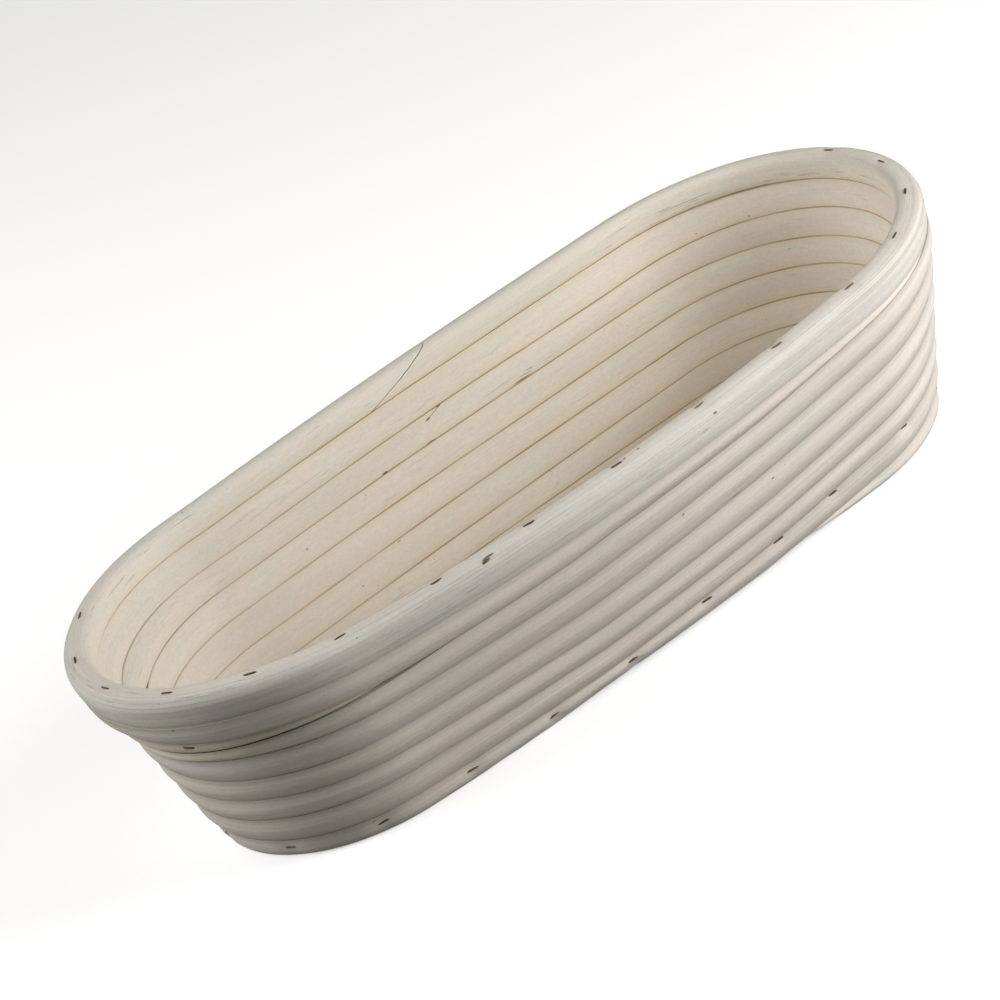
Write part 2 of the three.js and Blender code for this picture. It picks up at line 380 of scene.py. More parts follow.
def pointsObject(name, rows):
    points = rows["centre"]
    edges = [(i, i + 1) for i in range(len(points) - 1)]
    made = meshObject(name, points.tolist(), edges, [])
    for label, values in rows.items():
        values = np.ascontiguousarray(values, np.float32)
        isVector = values.ndim == 2
        layer = made.data.attributes.new(label, "FLOAT_VECTOR" if isVector else "FLOAT", "POINT")
        layer.data.foreach_set("vector" if isVector else "value", values.ravel())
    return made


def drawIn(mesh):
    # under the rim, the left end of the wall is drawn in
    point = np.zeros(len(mesh.vertices) * 3, np.float32)
    mesh.vertices.foreach_get("co", point)
    point = point.reshape(-1, 3)
    height = point[:, 2] / mm
    share = smooth((height - oval["tuckFoot"]) / (oval["tuckHeight"] - oval["tuckFoot"]))
    share *= smooth((oval["tuckTop"] - height) / (oval["tuckTop"] - oval["tuckHeight"]))
    share *= smooth((-point[:, 0] / mm - oval["liftStart"]) / oval["liftRun"])
    point[:, 0] += oval["leftTuck"] * mm * share
    mesh.vertices.foreach_set("co", point.ravel())
    mesh.update()


def grow(piece, tree, values):
    # runs the tree on the piece and keeps the result as its plain mesh
    modifier = piece.modifiers.new(tree.name, "NODES")
    modifier.node_group = tree
    for item in tree.interface.items_tree:
        if item.in_out == "INPUT" and item.name in values:
            modifier[item.identifier] = values[item.name]
    seen = bpy.context.evaluated_depsgraph_get()
    mesh = bpy.data.meshes.new_from_object(
        piece.evaluated_get(seen), preserve_all_data_layers=True, depsgraph=seen
    )
    drawIn(mesh)
    piece.modifiers.clear()
    piece.data = mesh
    mesh.name = piece.name
    return piece


def caneTree():
    # sweeps a rounded section along a path whose points carry the section's size and directions
    tree, given = newTree("sweptCane", {
        "Int": ["Section Sides"],
        "Float": ["Inner Squareness", "Outer Squareness", "Inner Cut", "Outer Cut", "Free Top", "Softness",
                  "Bottom Tilt", "Unevenness", "Ground", "Mark Depth", "Mark Reach"],
        "Object": ["Staple Marks"],
        "Material": ["Finish"],
    })
    path = output("GeometryNodeMeshToCurve", {0: given["Geometry"]})
    circle = output("GeometryNodeCurvePrimitiveCircle", {"Resolution": given["Section Sides"]})
    index = output("GeometryNodeInputIndex")
    share = calc("DIVIDE", index, given["Section Sides"])
    profile = stored(circle, "around", times(share, 2 * math.pi))
    feeds = {"Curve": path, "Profile Curve": profile, "Fill Caps": True}
    tube = output("GeometryNodeCurveToMesh", feeds)

    around = named("around")
    isOuter = calc("GREATER_THAN", calc("COSINE", around), 0.0)

    def bySide(label):
        return mix(isOuter, given["Inner " + label], given["Outer " + label])

    squareness = bySide("Squareness")
    power = calc("DIVIDE", 2.0, squareness)
    isTop = calc("LESS_THAN", calc("SINE", around), 0.0)
    isRound = times(isTop, given["Free Top"])
    cut = mix(isRound, bySide("Cut"), 1.0)

    def rounded(operation):
        wave = calc(operation, around)
        return times(calc("SIGN", wave), calc("POWER", calc("ABSOLUTE", wave), power))

    # a full section whose top and bottom are cut flat where the next turns press on it
    outer = rounded("COSINE")
    rise = times(rounded("SINE"), times(cut, -1.0))
    rise = calc("MAXIMUM", calc("MINIMUM", rise, 1.0), -1.0)
    # outside, the crown runs softly down into the groove
    edge = calc("SUBTRACT", 1.0, calc("POWER", cut, times(squareness, -1.0)))
    grooveDepth = calc("SUBTRACT", 1.0, calc("POWER", edge, calc("DIVIDE", 1.0, squareness)))
    wave = calc("MULTIPLY_ADD", calc("COSINE", times(rise, math.pi)), 0.5, -0.5)
    wave = calc("MULTIPLY_ADD", wave, grooveDepth, 1.0)
    isFree = calc("LESS_THAN", calc("ABSOLUTE", rise), flatFrom)
    isFree = times(isFree, calc("SUBTRACT", 1.0, isRound))
    softness = times(times(isOuter, isFree), given["Softness"])
    outer = mix(softness, outer, wave)
    across = times(outer, named("halfWidth"))
    stack = times(rise, named("halfHeight"))
    straight = output("ShaderNodeCombineXYZ", {0: named("along"), 1: across, 2: stack})
    lumpScale = (22.0, 140.0, 140.0)   # per metre along, across and up
    uneven = noise(calcVector("MULTIPLY", straight, lumpScale), 1.0)
    # neighbouring turns stay level with each other at their seam
    uneven = times(calc("SUBTRACT", uneven, 0.5), calc("SUBTRACT", 1.0, times(rise, rise)))
    swell = calc("MULTIPLY_ADD", uneven, given["Unevenness"], across)
    # the underside can slope outwards, to lie on the turn below
    underside = times(calc("MINIMUM", rise, 0.0), given["Bottom Tilt"])
    lift = calc("MULTIPLY_ADD", underside, across, stack)
    slide = times(named("shear"), stack)
    place = named("centre", "FLOAT_VECTOR")
    for label, distance in {"acrossDir": swell, "stackDir": lift, "aheadDir": slide}.items():
        place = calcVector("ADD", place, scaleVector(named(label, "FLOAT_VECTOR"), distance))
    tube = stored(tube, "straight", straight, "FLOAT_VECTOR")
    tube = stored(tube, "outerFace", outer)
    tube = stored(tube, "riseFace", rise)
    tube = moved(tube, "Position", place)

    marks = put("GeometryNodeObjectInfo", {"Object": given["Staple Marks"]}).outputs["Geometry"]
    near = put("GeometryNodeProximity", {0: marks}, target_element="POINTS").outputs
    facing = output("GeometryNodeInputNormal")
    apart = calcVector("SUBTRACT", output("GeometryNodeInputPosition"), near["Position"])
    above = put("ShaderNodeVectorMath", {0: apart, 1: facing}, operation="DOT_PRODUCT").outputs["Value"]
    wanted = calc("MAXIMUM", calc("ADD", above, given["Mark Depth"]), 0.0)
    nearness = ramp(near["Distance"], 0.0, given["Mark Reach"], 1.0, 0.0)
    press = times(nearness, wanted)
    tube = stored(tube, "dent", nearness)
    inwards = scaleVector(facing, times(press, -1.0))
    tube = moved(tube, "Offset", inwards)

    here = put("ShaderNodeSeparateXYZ", {0: output("GeometryNodeInputPosition")}).outputs
    level = calc("MAXIMUM", here[2], given["Ground"])
    flat = output("ShaderNodeCombineXYZ", {0: here[0], 1: here[1], 2: level})
    tube = moved(tube, "Position", flat)
    tube = output("GeometryNodeSetShadeSmooth", {"Geometry": tube})
    closeTree(tube, given["Finish"])
    return tree


sweptCane = caneTree()
print("stage: cane tree ready")


def readValues(items, field, kind=np.int32):
    values = np.zeros(len(items), kind)
    items.foreach_get(field, values)
    return values


def attributeValues(mesh, name):
    return readValues(mesh.attributes[name].data, "value", np.float32)


# Margins of a strip in the bake map, as shares of it, the radius of a cut end, and each cane's strips
bakeMap = {
    "ends": 0.005,
    "overrun": 0.004,
    "sides": 0.06,
    "capRadius": 0.4,
    "strips": {"wall_lower": 12, "wall_upper": 6, "rim": 5, "base_spiral": 8, "base_core_cane": 3},
}


def layBakeMap(piece):
    # the cane's skin in straight strips, laid one above the other, with the two cut ends below them
    mesh = piece.data
    rows = bakeMap["strips"][piece.name]
    corner = readValues(mesh.loops, "vertex_index")
    first = readValues(mesh.polygons, "loop_start")
    total = readValues(mesh.polygons, "loop_total")
    along = attributeValues(mesh, "along")[corner]
    around = attributeValues(mesh, "around")[corner] / (2 * math.pi)
    sides = first[total == 4][:, None] + np.arange(4)
    length = along.max() + 1e-9   # never nothing
    row = np.minimum((along[sides].mean(1) / length * rows).astype(int), rows - 1)
    turn = around[sides]
    turn = np.where((turn.max(1) - turn.min(1) > 0.5)[:, None] & (turn < 0.5), turn + 1, turn)
    rowHeight = 1 / (rows + 1)
    spots = np.zeros((len(corner), 2), np.float32)
    ends, over, margin = bakeMap["ends"], bakeMap["overrun"], bakeMap["sides"]
    share = (along[sides] / length * rows - row[:, None]).clip(-over, 1 + over)
    spots[sides, 0] = ends + (1 - 2 * ends) * share
    spots[sides, 1] = (row[:, None] + 1 + margin + (1 - 2 * margin) * turn) * rowHeight
    for number, cap in enumerate(np.flatnonzero(total != 4)):
        ring = first[cap] + np.arange(total[cap])
        angle = around[ring] * 2 * math.pi
        spots[ring, 0] = rowHeight * (0.5 + number + bakeMap["capRadius"] * np.cos(angle))
        spots[ring, 1] = rowHeight * (0.5 + bakeMap["capRadius"] * np.sin(angle))
    mesh.uv_layers.new(name="OFBake", do_init=False)
    mesh.uv_layers["OFBake"].uv.foreach_set("vector", spots.ravel())
    isSmooth = total == 4
    pressed = np.abs(attributeValues(mesh, "riseFace")[corner][sides]).min(1) > flatFrom
    isSmooth[np.flatnonzero(isSmooth)[pressed]] = False
    mesh.polygons.foreach_set("use_smooth", isSmooth)


def mixColour(factor, first, second):
    feeds = {0: factor, 6: first, 7: second}
    return put("ShaderNodeMix", feeds, data_type="RGBA").outputs[2]


def attribute(name, socket="Fac"):
    return put("ShaderNodeAttribute", attribute_name=name).outputs[socket]


def colour(red, green, blue):
    return (red, green, blue, 1.0)


def newFinish(name):
    finish = bpy.data.materials.new(name)
    finish.use_nodes = True
    building.append(finish.node_tree)
    return finish, finish.node_tree.nodes["Principled BSDF"]


# Noise along the fibres: scale along the cane and across it, per metre, detail, and the values
# where it starts to show and where it shows in full
fibreNoise = {
    "rosy": (9.0, 75.0, 1.0, 0.5, 0.78),
    "sallow": (9.0, 75.0, 1.0, 0.5, 0.22),
    "cool": (17.0, 60.0, 1.0, 0.5, 0.72),
    "blush": (75.0, 190.0, 2.0, 0.5, 0.7),
    "coolMottle": (75.0, 190.0, 2.0, 0.5, 0.3),
    "grit": (900.0, 1500.0, 2.0, 0.3, 0.7),
    "streaks": (16.0, 2400.0, 3.0, 0.25, 0.75),
    "patches": (14.0, 120.0, 2.0, 0.25, 0.75),
    "hairs": (60.0, 5200.0, 2.0, 0.62, 0.78),
    "specks": (420.0, 620.0, 1.0, 0.78, 0.84),
    "dirt": (45.0, 60.0, 2.0, 0.3, 0.7),
    "scuffs": (95.0, 1500.0, 2.0, 0.62, 0.72),
    "scuffAreas": (11.0, 160.0, 1.0, 0.5, 0.66),
    "splits": (7.0, 850.0, 2.0, 0.58, 0.68),
    "markEdges": (260.0, 1300.0, 2.0),
}
# The same two values for what goes by the face of the cane, its taper, its dents or a mark's edge
spans = {
    "outside": (-0.25, 0.6),
    "grain": (-0.3, 0.5),
    "stain": (0.35, -0.05),
    "shadow": (0.0, 0.4),
    "split": (-0.3, 0.2),
    "taper": (0.12, 0.5),
    "dent": (0.1, 0.9),
    "mark": (1.35, 0.85),
    "crackShadow": (0.93, 0.99),
}


def caneFinish(name, look, marks=()):
    finish, shader = newFinish(name)
    straight = attribute("straight", "Vector")
    outer = attribute("outerFace")
    rise = attribute("riseFace")
    seam = calc(look["seams"], rise, -1.0)

    def grainOf(label):
        alongScale, acrossScale, detail = fibreNoise[label][:3]
        stretched = calcVector("MULTIPLY", straight, (alongScale, acrossScale, acrossScale))
        return noise(stretched, 1.0, detail)

    def fibres(label, most, least=0.0):
        return ramp(grainOf(label), *fibreNoise[label][3:], least, most)

    def bySeam(kind, full=1.0):
        return ramp(seam, look[kind + "From"], full, 0.0, look[kind])

    def lay(shade, factor):
        nonlocal tone
        tone = mixColour(factor, tone, look[shade])

    tone = mixColour(ramp(outer, *spans["outside"]), look["inside"], look["outside"])
    lay("rosy", fibres("rosy", look["tint"]))
    lay("sallow", fibres("sallow", look["tint"]))
    lay("pith", ramp(attribute("taper"), *spans["taper"], 0.0, look["pithShare"]))
    lay("cool", fibres("cool", look["tint"]))
    lay("blush", fibres("blush", look["mottle"]))
    lay("cool", fibres("coolMottle", look["mottle"]))
    tone = scaleVector(tone, fibres("grit", 1 + look["grit"], 1 - look["grit"]))
    grain = ramp(outer, *spans["grain"], look["insideGrain"], 1.0)
    streaked = times(fibres("streaks", look["streak"], -look["streak"]), grain)
    patched = fibres("patches", look["patchMost"], look["patchLeast"])
    tone = scaleVector(tone, calc("MULTIPLY_ADD", patched, streaked, patched))
    lay("vessel", times(fibres("hairs", look["hair"]), grain))
    lay("speckColour", fibres("specks", look["speck"]))
    dirty = ramp(outer, *spans["stain"], look["outsideStain"], 1.0)
    dirty = times(dirty, fibres("dirt", 1.0, look["leastDirt"]))
    # the seams at the left end are the cleanest
    position = put("ShaderNodeTexCoord").outputs["Object"]
    lengthwise = output("ShaderNodeSeparateXYZ", {0: position})
    dirty = times(dirty, ramp(lengthwise, look["cleanEnd"], 0.0, look["leftDirt"], 1.0))
    # a yellow stain band either side of a seam, made strong enough to paint some shade towards the coils'
    # edges too
    lay("haloColour", times(bySeam("halo"), dirty))
    lay("pith", ramp(attribute("dent"), *spans["dent"], 0.0, look["dent"]))
    # painted shade: the groove darkens softly, and a pressed face that shows is darker still
    shadow = calc("MAXIMUM", bySeam("shadow"), bySeam("pressed"))
    lay("shadowColour", times(shadow, ramp(outer, *spans["shadow"])))
    lay("stainColour", times(bySeam("stain", look["stainFull"]), dirty))
    lay("scuffColour", times(fibres("scuffs", look["scuff"]), fibres("scuffAreas", 1.0)))
    lay("splitColour", times(fibres("splits", look["split"]), ramp(outer, *spans["split"])))
    for place, size, turn, markColour, strength in marks:
        feeds = {"Vector": straight, "Location": [v * mm for v in place],
                 "Rotation": (0.0, math.radians(turn), 0.0), "Scale": [v * mm for v in size]}
        spot = output("ShaderNodeMapping", feeds, vector_type="TEXTURE")
        reach = put("ShaderNodeVectorMath", {0: spot}, operation="LENGTH").outputs["Value"]
        reach = calc("MULTIPLY_ADD", grainOf("markEdges"), look["markFraying"], reach)
        tone = mixColour(ramp(reach, *spans["mark"], 0.0, strength), tone, markColour)
    # painted shadow in open seams and along the splice, near black at the seam
    crackShadow = mix(calc("LESS_THAN", rise, 0.0), attribute("crackHigh"), attribute("crackLow"))
    lay("crackShadowColour", times(crackShadow, ramp(calc("ABSOLUTE", rise), *spans["crackShadow"])))
    streaks = grainOf("streaks")
    height = calc("MULTIPLY_ADD", grainOf("hairs"), -look["hairDepth"], streaks)
    feeds = {"Height": height, "Strength": look["bump"], "Distance": look["bumpDistance"]}
    feed(shader, {
        "Base Color": tone,
        "Roughness": ramp(streaks, *look["roughSpan"], *look["rough"]),
        "Specular IOR Level": look["specular"],
        "Normal": output("ShaderNodeBump", feeds),
    })
    return finish


caneLook = {
    "inside": colour(0.86, 0.787, 0.695),
    "outside": colour(0.87, 0.805, 0.732),
    "rosy": colour(0.86, 0.77, 0.72),
    "sallow": colour(0.84, 0.80, 0.65),
    "cool": colour(0.80, 0.81, 0.74),
    "tint": 0.4,
    "blush": colour(0.86, 0.77, 0.73),
    "mottle": 0.4,
    "grit": 0.03,
    "patchLeast": 0.95,
    "patchMost": 1.04,
    "pith": colour(0.80, 0.70, 0.46),
    "pithShare": 0.45,
    "streak": 0.06,
    "insideGrain": 0.35,   # share of the outside's streaks
    "vessel": colour(0.45, 0.36, 0.24),
    "hair": 0.3,
    "speckColour": colour(0.22, 0.14, 0.08),
    "speck": 0.6,
    "seams": "ABSOLUTE",   # above and below
    "stainFrom": 0.897,
    "stainFull": 0.99,
    "stain": 0.9,
    "leastDirt": 0.5,
    "leftDirt": 0.5,
    "cleanEnd": -0.13,     # metres from the middle
    "outsideStain": 0.12,
    "stainColour": colour(0.24, 0.18, 0.105),
    # yellow stain beside the seams, partly also painted shade towards the coils' edges
    "haloFrom": 0.5,
    "halo": 0.5,
    "haloColour": colour(0.82, 0.67, 0.43),
    "dent": 0.2,
    # painted shade in the grooves outside, darker still on pressed faces that show
    "shadowFrom": 0.45,
    "shadow": 0.38,
    "pressedFrom": 0.996,
    "pressed": 0.8,
    "shadowColour": colour(0.43, 0.395, 0.36),
    "scuff": 0.25,
    "scuffColour": colour(0.36, 0.30, 0.24),
    "split": 0.15,
    "splitColour": colour(0.46, 0.40, 0.36),
    "crackShadowColour": colour(0.035, 0.025, 0.016),
    "markFraying": 0.9,
    "rough": (0.48, 0.66),
    "roughSpan": (0.3, 0.7),
    "specular": 0.35,
    "bump": 0.25,
    "bumpDistance": 0.0004,
    "hairDepth": 0.5,      # share of the streaks' height
}
# Marks on a cane: place and half size in millimetres (along, across, up), turn in degrees, colour, strength
darkMark, paleMark = colour(0.12, 0.085, 0.05), colour(0.90, 0.86, 0.80)
rawMark, knotMark = colour(0.42, 0.27, 0.15), colour(0.15, 0.085, 0.045)
lowerWallMarks = [
    ((3558.7, -4.2, 3.1), (4.8, 2.0, 0.26), 15.0, rawMark, 0.8),
    ((3556.1, -4.1, 4.1), (1.4, 2.0, 0.55), 15.0, darkMark, 0.85),
    ((3561.2, -4.3, 2.4), (1.2, 2.0, 0.42), 15.0, darkMark, 0.75),
    ((3564.1, -4.1, -4.1), (3.0, 2.0, 0.5), 0.0, darkMark, 0.85),
    ((3578.3, -4.1, -4.1), (5.5, 2.0, 0.5), 0.0, rawMark, 0.6),
    ((3582.0, -4.1, -3.9), (1.7, 2.0, 0.6), 0.0, darkMark, 0.9),
    ((3528.3, -4.3, -3.7), (5.5, 2.0, 0.34), 0.0, darkMark, 0.7),
    ((3526.8, -4.3, -2.8), (4.2, 2.0, 0.24), -3.0, darkMark, 0.55),
    ((3525.3, -4.3, -2.0), (2.8, 2.0, 0.2), -6.0, darkMark, 0.5),
    ((1595.7, -4.1, 4.2), (0.8, 2.0, 0.4), 0.0, darkMark, 0.4),
    ((3245.8, 3.5, -4.4), (3.5, 2.0, 0.4), 0.0, darkMark, 0.6),
    ((2586.0, 4.2, 2.1), (0.8, 2.0, 0.4), 0.0, darkMark, 0.7),
]
upperWallMarks = [
    ((766.5, 3.5, 4.1), (0.8, 2.0, 0.45), 0.0, darkMark, 0.7),
]
rimCaneMarks = [
    ((308.2, 3.9, 2.9), (3.5, 1.5, 0.9), 0.0, paleMark, 0.5),
    ((306.8, 2.6, 3.8), (2.0, 1.0, 0.9), 0.0, knotMark, 0.95),
    ((308.4, 2.0, 4.2), (2.2, 0.6, 0.5), 0.0, darkMark, 0.85),
    ((306.0, 2.9, 3.6), (0.9, 0.7, 0.6), 0.0, darkMark, 0.9),
    ((385.1, 4.0, 2.2), (0.9, 0.9, 0.5), 0.0, darkMark, 0.8),
    ((356.2, -0.7, 4.5), (0.8, 0.5, 0.8), 0.0, darkMark, 0.7),
    ((361.2, -0.6, 4.5), (0.8, 0.5, 0.8), 0.0, darkMark, 0.8),
]
lowerWallFinish = caneFinish("lowerWallFinish", caneLook, lowerWallMarks)
upperWallFinish = caneFinish("upperWallFinish", caneLook, upperWallMarks)
rimFinish = caneFinish("rimCaneFinish", {
    **caneLook,
    "inside": colour(0.85, 0.80, 0.71),
    "outside": colour(0.80, 0.775, 0.718),
    "streak": 0.1,
    "hair": 0.42,
    "scuff": 0.55,
    "split": 0.4,
    "seams": "MULTIPLY",   # below only
}, rimCaneMarks)
baseFinish = caneFinish("baseCaneFinish", {
    **caneLook,
    "inside": colour(0.85, 0.77, 0.64),
    "outside": colour(0.78, 0.71, 0.60),
})

stapleLook = {
    "steel": colour(0.13, 0.11, 0.09),
    "rust": colour(0.15, 0.08, 0.04),
    "rustSpan": (0.45, 0.7),
    "rough": (0.4, 0.7),
    "roughSpan": (0.3, 0.7),
    "blotchScale": 900.0,
    "blotchDetail": 3.0,
    "metallic": 0.6,
}


def stapleFinish(look):
    finish, shader = newFinish("stapleFinish")
    where = put("ShaderNodeTexCoord").outputs["Object"]
    blotch = noise(where, look["blotchScale"], look["blotchDetail"])
    rusted = ramp(blotch, *look["rustSpan"])
    feed(shader, {
        "Base Color": mixColour(rusted, look["steel"], look["rust"]),
        "Roughness": ramp(blotch, *look["roughSpan"], *look["rough"]),
        "Metallic": look["metallic"],
    })
    return finish


steel = stapleFinish(stapleLook)
print("stage: finishes ready")

# Staples: 26 down through the rim, 20 in through the foot, and those that only the photograph shows
stapleSizes = {
    "crownWidth": 5.2,
    "wire": 0.9,
    "depth": 0.75,
    "legLength": 15.0,
    "pointLength": 1.2,
    "bend": 0.9,
    "cornerSteps": 4,
    "trim": 0.28,              # share of the wire's half width that stays flat
    "point": 0.25,             # share of it left at the legs' points
    "twist": 0.1,
    "sink": 0.12,
    "seed": 7,
    "rimPerSide": 6,
    "rimPerEnd": 7,
    "hidden": range(11, 21),   # rim staples that the fibres close over
    "hiddenDepth": 1.6,
    "footPerSide": 6,
    "footPerEnd": 5,
    "footStart": 1.2,
    "footEnd": 4.8,
    "climbing": [4.88, 5.07],
    "splice": 23.68,
    "spliceLift": 3.4,
    "spliceReach": 4.25,
    "spliceLeg": 7.0,
}

rimSizes = {
    "diameter": 8.6,
    "overhang": 1.2,
    "seatGap": 0.65,
    "scarfStation": 2.51,
    "scarfLength": 25.0,
    "scarfGap": 0.26,
    "scarfReach": 60.0,
    "wander": 0.22,
    "wanderSpacing": 0.7,
    "girth": 0.12,
    "girthSpacing": 0.6,
    "endFade": 60.0,
    "seed": 31,
}
rimRadius = rimSizes["diameter"] / 2
rimStep = rimRadius + caneRadius + rimSizes["seatGap"]
rimLean = math.asin(rimSizes["overhang"] / rimStep)
rimReach = wallRadius + (oval["wallTurns"] - 1) * oval["flare"] + rimSizes["overhang"]
rimHeight = footHeight + (oval["wallTurns"] - 1) * pitch * math.cos(wallLean)
rimHeight += math.sqrt(rimStep ** 2 - rimSizes["overhang"] ** 2)


def wallBowShare(level):
    return oval["footBowShare"] + (1 - oval["footBowShare"]) * level / oval["wallTurns"]


def baseBowShare(level):
    return oval["footBowShare"] * (level + 1) / (oval["baseTurns"] + 1)


def onePoint(station, reach, bowShare, height):
    point, normal = ovalPoint(np.array([station]), np.array([reach]), np.array([bowShare]))
    point[0, 2] = height
    return point[0], normal[0]


def wallPoint(station):
    level = levelAt(station)
    height = footHeight + level * pitch * math.cos(wallLean)
    return onePoint(station, wallRadius + level * oval["flare"], wallBowShare(level), height)


def stapleRow(centre, normal, inward, radius, driven=0.0):
    outward = -inward / np.linalg.norm(inward)
    along = np.array([-normal[1], normal[0], 0.0])
    turn = Matrix(np.stack([along, outward, np.cross(along, outward)], -1).tolist()).to_euler()
    return warped(centre + outward * radius) * mm, list(turn), driven


def stationsRound(first, last, kind, offset):
    # evenly spaced on each side and end
    stations = []
    for side in range(first, last):
        count = stapleSizes[kind + ("PerEnd" if side % 2 else "PerSide")]
        stations += [side + (step + offset) / count for step in range(count)]
    return stations


def rimStapleRows():
    rows = []
    for station in stationsRound(0, 4, "rim", 0.0):
        point, normal = onePoint(station, rimReach, 1.0, rimHeight)
        driven = stapleSizes["hiddenDepth"] if len(rows) in stapleSizes["hidden"] else 0.0
        rows.append(stapleRow(point, normal, -upwards, rimRadius, driven))
    return rows


def footStapleRows():
    first, last = stapleSizes["footStart"], stapleSizes["footEnd"]
    stations = stationsRound(int(first), math.ceil(last), "foot", 0.5)
    stations = [s for s in stations if first < s < last]
    rows = []
    for station in stations + stapleSizes["climbing"]:
        point, normal = wallPoint(station)
        bowShare = baseBowShare(oval["baseTurns"] - 1)
        target = onePoint(station, oval["baseTurns"] * pitch, bowShare, footHeight)[0]
        rows.append(stapleRow(point, normal, target - point, caneRadius))
    return rows


def spliceStapleRows():
    point, normal = wallPoint(stapleSizes["splice"])
    stack, across = leaned(normal, wallLean)
    place = point + stack * stapleSizes["spliceLift"]
    return [stapleRow(place, normal, -across, stapleSizes["spliceReach"])]


def markObject(name, rows):
    return pointsObject(name, {
        "centre": np.array([r[0] for r in rows]),
        "turn": np.array([r[1] for r in rows]),
        "driven": np.array([r[2] for r in rows]) * mm,
    })


rimRows, footRows, spliceRows = rimStapleRows(), footStapleRows(), spliceStapleRows()
rimMarks = markObject("rimMarks", [row for row in rimRows if not row[2]])
footMarks = markObject("footMarks", footRows)

caneSwell = {
    "Section Sides": 36,
    "Inner Squareness": 2.5,
    "Outer Squareness": 2.0,
    "Inner Cut": 1.741,
    "Outer Cut": 1.556,
    "Free Top": 0.0,
    "Softness": 0.6,
    "Bottom Tilt": 0.0,
    "Unevenness": 0.7 * mm,
    "Ground": 0.0,
    "Mark Depth": 0.45 * mm,
    "Mark Reach": 4.2 * mm,
}

wallSizes = {
    "turns": oval["wallTurns"],
    "lean": wallLean,
    "firstRadius": wallRadius,
    "bowShare": wallBowShare,
    "bowStep": (1 - oval["footBowShare"]) / oval["wallTurns"],
    "halfWidth": 4.42,
    "edgeDrift": 0.55,
    "faceDrift": 0.07,
    "girthDrift": 0.05,
    "seed": 11,
    "archRise": 2.0,
    "archFade": 0.4,
    "archEnd": 1.15,
    "frontSeams": {         # millimetres, by the turn's first station
        24: (1.0, 2.0, 0.0),
        20: (0.2, 0.3, 0.0),
        16: (-0.7, -1.4, -1.3),
        12: (-1.1, -1.8, -2.7),
        8: (-0.7, -1.4, -2.3),
        4: (-0.2, -0.5, -1.7),
    },
    "backSeams": {20: -1.2, 16: 0.35, 12: 0.1, 8: -0.1, 4: -0.8},
    # painted shadow in open seams: first and last station, and strength
    "crackShadows": [(28.1, 28.8, 0.65), (23.0, 23.35, 0.3)],
    "spliceShadow": 0.95,
    "spliceShadowEnd": 23.9,
    "spliceStart": 23.3,
    "spliceEnd": 24.1,
    "spliceGap": 0.16,
    "spliceTip": 0.3,
    "plainTaper": 0.3,     # share of the splice's yellow pith at the other tapered ends
}
spliceRun = wallSizes["spliceEnd"] - wallSizes["spliceStart"]
baseSizes = {
    "turns": oval["baseTurns"],
    "lean": math.pi / 2,
    "firstRadius": pitch,
    "bowShare": baseBowShare,
    "bowStep": oval["footBowShare"] / (oval["baseTurns"] + 1),
    "halfWidth": 4.3,
    "edgeDrift": 0.3,
    "faceDrift": 0.1,
    "girthDrift": 0.05,
    "seed": 21,
    "archRise": 0.0,
    "archFade": 0.4,
    "archEnd": -1.0,
    "frontSeams": {16: (0.95, 1.25, 1.45)},   # out to the wall
    "backSeams": {12: 0.5},
    "crackShadows": [],
}
coreSizes = {
    "tipLength": 4.2,
    "tipDiameter": 3.0,
    "tipRings": 6,
    "tipCurve": 1.5,
    "tipPith": 0.3,
    "rings": 80,
}


def windingEnd(winding):
    return 4 * winding["turns"] + oval["climbStart"] + taperRun


def spliceCut(station):
    # height of the slanting cut between the two wall canes
    return pitch * ((station - wallSizes["spliceStart"]) / spliceRun - 0.5)


def stationAtCut(height):
    return wallSizes["spliceStart"] + spliceRun * (height / pitch + 0.5)


def rimSections():
    first = rimSizes["scarfStation"]
    halfGap = rimSizes["scarfGap"] * rimSizes["scarfLength"] / rimSizes["diameter"] / 2
    halfGap /= oval["coreLength"]

    def place(station):
        count = len(station)
        point, normal = ovalPoint(station, np.full(count, rimReach), np.ones(count))
        point[:, 2] = rimHeight
        return point, normal

    station, along = evenStations(lambda s: place(s)[0], first + halfGap, first + 4 - halfGap)
    point, normal = place(station)
    wander = drift(rimSizes["seed"], rimSizes["wanderSpacing"], rimSizes["wander"])
    girth = drift(rimSizes["seed"] + 1, rimSizes["girthSpacing"], rimSizes["girth"])
    fade = smooth(along / rimSizes["endFade"]) * smooth((along[-1] - along) / rimSizes["endFade"])
    centre = point + normal * (wander(station) * fade)[:, None]
    low = np.full(len(station), pitch / 2 - rimStep - oval["squeeze"])
    high = np.full(len(station), rimRadius)
    fromEnd = np.minimum(along, along[-1] - along)
    slope = -rimSizes["scarfLength"] / rimSizes["diameter"]
    shear = slope * np.clip(1 - fromEnd / rimSizes["scarfReach"], 0, 1)
    halfWidth = rimRadius + girth(station) * fade
    made = sections(centre, normal, rimLean, low, high, halfWidth, along, shear)
    made["taper"] = np.zeros(len(station))
    return made


